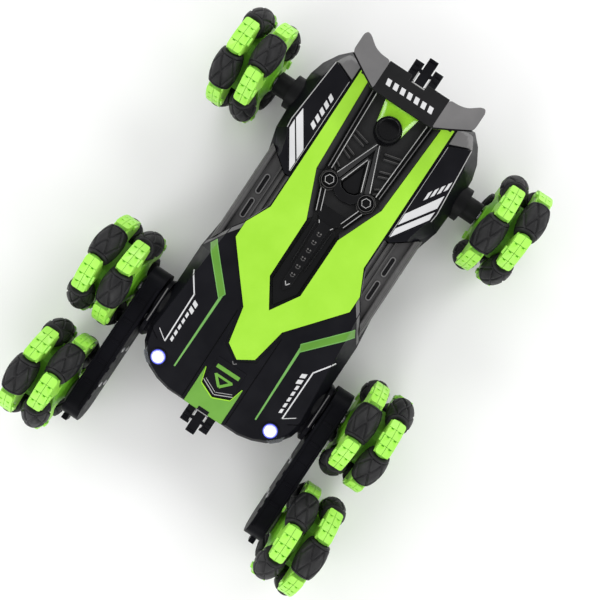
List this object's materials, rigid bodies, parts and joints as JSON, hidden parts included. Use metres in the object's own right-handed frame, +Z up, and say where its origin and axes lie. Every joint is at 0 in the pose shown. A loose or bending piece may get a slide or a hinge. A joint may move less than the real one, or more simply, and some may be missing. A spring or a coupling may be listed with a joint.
{
  "type": "radio-controlled stunt car",
  "caption": "Radio-controlled stunt car with omni wheels, two swinging front arms that each carry two wheels, a bevelled body shell and a rear wing.",
  "frame": {"origin": "on the floor, under the middle of the car's bounding box", "axes": "+X forward, +Y to the car's left, +Z up"},
  "size_m": [0.354, 0.2424, 0.085],
  "materials": {
    "wheel_lime": "satin",
    "tread_rubber": "matte",
    "shaft_steel": "satin",
    "gear_nylon": "matte",
    "pinion_brass": "satin",
    "arm_black": "matte",
    "shell_black": "satin",
    "shell_lime": "gloss",
    "deck_black": "satin",
    "fitting_black": "gloss",
    "spoiler_black": "satin",
    "lens_clear": "gloss",
    "led_white": "gloss",
    "chassis_charcoal": "matte",
    "screw_steel": "satin",
    "battery_wrap": "gloss",
    "motor_can": "satin",
    "plate_white": "matte",
    "board_green": "gloss"
  },
  "bodies": {
    "chassis": {"battery_door": "chassis_charcoal", "battery_pack": "battery_wrap", "body_screws": "screw_steel", "chassis_tub": "chassis_charcoal", "circuit_board": "board_green", "deck_bolts": "fitting_black", "drive_motors": "motor_can", "engine_deck": "deck_black", "filler_cap": "fitting_black", "gearbox_plates": "plate_white", "headlight_leds": "led_white", "headlight_lenses": "lens_clear", "lime_cover": "shell_lime", "rear_spoiler": "spoiler_black", "upper_shell": "shell_black"},
    "left_arm": {"left_arm_inner_case": "arm_black", "left_arm_outer_case": "arm_black"},
    "rear_left_wheel": {"rear_left_hub": "wheel_lime", "rear_left_other_rollers": "tread_rubber", "rear_left_shaft": "shaft_steel"},
    "rear_left_inner_floor_roller": {"rear_left_inner_floor_roller": "tread_rubber"},
    "rear_left_outer_floor_roller": {"rear_left_outer_floor_roller": "tread_rubber"},
    "mid_left_wheel": {"mid_left_hub": "wheel_lime", "mid_left_other_rollers": "tread_rubber", "mid_left_shaft": "shaft_steel"},
    "mid_left_inner_floor_roller": {"mid_left_inner_floor_roller": "tread_rubber"},
    "mid_left_outer_floor_roller": {"mid_left_outer_floor_roller": "tread_rubber"},
    "front_left_wheel": {"front_left_hub": "wheel_lime", "front_left_other_rollers": "tread_rubber", "front_left_shaft": "shaft_steel"},
    "front_left_inner_floor_roller": {"front_left_inner_floor_roller": "tread_rubber"},
    "front_left_outer_floor_roller": {"front_left_outer_floor_roller": "tread_rubber"},
    "left_idler_1": {"left_idler_gear_1": "gear_nylon"},
    "left_idler_2": {"left_idler_gear_2": "gear_nylon"},
    "left_idler_3": {"left_idler_gear_3": "gear_nylon"},
    "rear_left_pinion": {"rear_left_motor_pinion": "pinion_brass"},
    "mid_left_pinion": {"mid_left_motor_pinion": "pinion_brass"},
    "right_arm": {"right_arm_inner_case": "arm_black", "right_arm_outer_case": "arm_black"},
    "rear_right_wheel": {"rear_right_hub": "wheel_lime", "rear_right_other_rollers": "tread_rubber", "rear_right_shaft": "shaft_steel"},
    "rear_right_inner_floor_roller": {"rear_right_inner_floor_roller": "tread_rubber"},
    "rear_right_outer_floor_roller": {"rear_right_outer_floor_roller": "tread_rubber"},
    "mid_right_wheel": {"mid_right_hub": "wheel_lime", "mid_right_other_rollers": "tread_rubber", "mid_right_shaft": "shaft_steel"},
    "mid_right_inner_floor_roller": {"mid_right_inner_floor_roller": "tread_rubber"},
    "mid_right_outer_floor_roller": {"mid_right_outer_floor_roller": "tread_rubber"},
    "front_right_wheel": {"front_right_hub": "wheel_lime", "front_right_other_rollers": "tread_rubber", "front_right_shaft": "shaft_steel"},
    "front_right_inner_floor_roller": {"front_right_inner_floor_roller": "tread_rubber"},
    "front_right_outer_floor_roller": {"front_right_outer_floor_roller": "tread_rubber"},
    "right_idler_1": {"right_idler_gear_1": "gear_nylon"},
    "right_idler_2": {"right_idler_gear_2": "gear_nylon"},
    "right_idler_3": {"right_idler_gear_3": "gear_nylon"},
    "rear_right_pinion": {"rear_right_motor_pinion": "pinion_brass"},
    "mid_right_pinion": {"mid_right_motor_pinion": "pinion_brass"},
    "power_switch": {"power_switch_slider": "fitting_black"}
  },
  "joints": [
    {"name": "left_arm_swing", "type": "hinge", "parent": "chassis", "child": "left_arm", "pos_m": [0.056, 0.068, 0.037], "axis": [0, 1, 0], "continuous": true},
    {"name": "rear_left_spin", "type": "hinge", "parent": "chassis", "child": "rear_left_wheel", "pos_m": [-0.112, 0.102, 0.037], "axis": [0, 1, 0], "continuous": true},
    {"name": "rear_left_inner_floor_roller_spin", "type": "hinge", "parent": "rear_left_wheel", "child": "rear_left_inner_floor_roller", "pos_m": [-0.12319, 0.0923, 0.01188], "axis": [-0.9135, 0, 0.4067], "continuous": true},
    {"name": "rear_left_outer_floor_roller_spin", "type": "hinge", "parent": "rear_left_wheel", "child": "rear_left_outer_floor_roller", "pos_m": [-0.10214, 0.1117, 0.01133], "axis": [-0.9336, 0, -0.3584], "continuous": true},
    {"name": "mid_left_spin", "type": "hinge", "parent": "left_arm", "child": "mid_left_wheel", "pos_m": [0.056, 0.102, 0.037], "axis": [0, 1, 0], "continuous": true},
    {"name": "mid_left_inner_floor_roller_spin", "type": "hinge", "parent": "mid_left_wheel", "child": "mid_left_inner_floor_roller", "pos_m": [0.06404, 0.0923, 0.0107], "axis": [-0.9563, 0, -0.2924], "continuous": true},
    {"name": "mid_left_outer_floor_roller_spin", "type": "hinge", "parent": "mid_left_wheel", "child": "mid_left_outer_floor_roller", "pos_m": [0.04309, 0.1117, 0.01272], "axis": [-0.8829, 0, 0.4695], "continuous": true},
    {"name": "front_left_spin", "type": "hinge", "parent": "left_arm", "child": "front_left_wheel", "pos_m": [0.14, 0.102, 0.037], "axis": [0, 1, 0], "continuous": true},
    {"name": "front_left_inner_floor_roller_spin", "type": "hinge", "parent": "front_left_wheel", "child": "front_left_inner_floor_roller", "pos_m": [0.15945, 0.0923, 0.01755], "axis": [-0.7071, 0, -0.7071], "continuous": true},
    {"name": "front_left_outer_floor_roller_spin", "type": "hinge", "parent": "front_left_wheel", "child": "front_left_outer_floor_roller", "pos_m": [0.14, 0.1117, 0.0095], "axis": [-1, 0, 0], "continuous": true},
    {"name": "left_idler_1_spin", "type": "hinge", "parent": "left_arm", "child": "left_idler_1", "pos_m": [0.077, 0.0743, 0.037], "axis": [0, 1, 0], "continuous": true},
    {"name": "left_idler_2_spin", "type": "hinge", "parent": "left_arm", "child": "left_idler_2", "pos_m": [0.098, 0.0743, 0.037], "axis": [0, 1, 0], "continuous": true},
    {"name": "left_idler_3_spin", "type": "hinge", "parent": "left_arm", "child": "left_idler_3", "pos_m": [0.119, 0.0743, 0.037], "axis": [0, 1, 0], "continuous": true},
    {"name": "rear_left_pinion_spin", "type": "hinge", "parent": "chassis", "child": "rear_left_pinion", "pos_m": [-0.094, 0.0435, 0.037], "axis": [0, 1, 0], "continuous": true},
    {"name": "mid_left_pinion_spin", "type": "hinge", "parent": "chassis", "child": "mid_left_pinion", "pos_m": [0.038, 0.0435, 0.037], "axis": [0, 1, 0], "continuous": true},
    {"name": "right_arm_swing", "type": "hinge", "parent": "chassis", "child": "right_arm", "pos_m": [0.056, -0.068, 0.037], "axis": [0, 1, 0], "continuous": true},
    {"name": "rear_right_spin", "type": "hinge", "parent": "chassis", "child": "rear_right_wheel", "pos_m": [-0.112, -0.102, 0.037], "axis": [0, 1, 0], "continuous": true},
    {"name": "rear_right_inner_floor_roller_spin", "type": "hinge", "parent": "rear_right_wheel", "child": "rear_right_inner_floor_roller", "pos_m": [-0.10675, -0.0923, 0.01001], "axis": [-0.9816, 0, -0.1908], "continuous": true},
    {"name": "rear_right_outer_floor_roller_spin", "type": "hinge", "parent": "rear_right_wheel", "child": "rear_right_outer_floor_roller", "pos_m": [-0.12738, -0.1117, 0.0142], "axis": [-0.829, 0, 0.5592], "continuous": true},
    {"name": "mid_right_spin", "type": "hinge", "parent": "right_arm", "child": "mid_right_wheel", "pos_m": [0.056, -0.102, 0.037], "axis": [0, 1, 0], "continuous": true},
    {"name": "mid_right_inner_floor_roller_spin", "type": "hinge", "parent": "mid_right_wheel", "child": "mid_right_inner_floor_roller", "pos_m": [0.04796, -0.0923, 0.0107], "axis": [-0.9563, 0, 0.2924], "continuous": true},
    {"name": "mid_right_outer_floor_roller_spin", "type": "hinge", "parent": "mid_right_wheel", "child": "mid_right_outer_floor_roller", "pos_m": [0.06891, -0.1117, 0.01272], "axis": [-0.8829, 0, -0.4695], "continuous": true},
    {"name": "front_right_spin", "type": "hinge", "parent": "right_arm", "child": "front_right_wheel", "pos_m": [0.14, -0.102, 0.037], "axis": [0, 1, 0], "continuous": true},
    {"name": "front_right_inner_floor_roller_spin", "type": "hinge", "parent": "front_right_wheel", "child": "front_right_inner_floor_roller", "pos_m": [0.15616, -0.0923, 0.01475], "axis": [-0.809, 0, -0.5878], "continuous": true},
    {"name": "front_right_outer_floor_roller_spin", "type": "hinge", "parent": "front_right_wheel", "child": "front_right_outer_floor_roller", "pos_m": [0.1357, -0.1117, 0.00984], "axis": [-0.9877, 0, 0.1564], "continuous": true},
    {"name": "right_idler_1_spin", "type": "hinge", "parent": "right_arm", "child": "right_idler_1", "pos_m": [0.077, -0.0743, 0.037], "axis": [0, 1, 0], "continuous": true},
    {"name": "right_idler_2_spin", "type": "hinge", "parent": "right_arm", "child": "right_idler_2", "pos_m": [0.098, -0.0743, 0.037], "axis": [0, 1, 0], "continuous": true},
    {"name": "right_idler_3_spin", "type": "hinge", "parent": "right_arm", "child": "right_idler_3", "pos_m": [0.119, -0.0743, 0.037], "axis": [0, 1, 0], "continuous": true},
    {"name": "rear_right_pinion_spin", "type": "hinge", "parent": "chassis", "child": "rear_right_pinion", "pos_m": [-0.094, -0.0435, 0.037], "axis": [0, 1, 0], "continuous": true},
    {"name": "mid_right_pinion_spin", "type": "hinge", "parent": "chassis", "child": "mid_right_pinion", "pos_m": [0.038, -0.0435, 0.037], "axis": [0, 1, 0], "continuous": true},
    {"name": "power_switch_slide", "type": "slide", "parent": "chassis", "child": "power_switch", "axis": [-1, 0, 0], "range_m": [0, 0.003]}
  ],
  "couplings": [
    {"joint": "left_idler_1_spin", "follows": "mid_left_spin", "ratio": -1},
    {"joint": "left_idler_2_spin", "follows": "mid_left_spin", "ratio": 1},
    {"joint": "left_idler_3_spin", "follows": "mid_left_spin", "ratio": -1},
    {"joint": "front_left_spin", "follows": "mid_left_spin", "ratio": 1},
    {"joint": "rear_left_pinion_spin", "follows": "rear_left_spin", "ratio": -2},
    {"joint": "mid_left_pinion_spin", "follows": "mid_left_spin", "ratio": -2},
    {"joint": "right_idler_1_spin", "follows": "mid_right_spin", "ratio": -1},
    {"joint": "right_idler_2_spin", "follows": "mid_right_spin", "ratio": 1},
    {"joint": "right_idler_3_spin", "follows": "mid_right_spin", "ratio": -1},
    {"joint": "front_right_spin", "follows": "mid_right_spin", "ratio": 1},
    {"joint": "rear_right_pinion_spin", "follows": "rear_right_spin", "ratio": -2},
    {"joint": "mid_right_pinion_spin", "follows": "mid_right_spin", "ratio": -2}
  ]
}
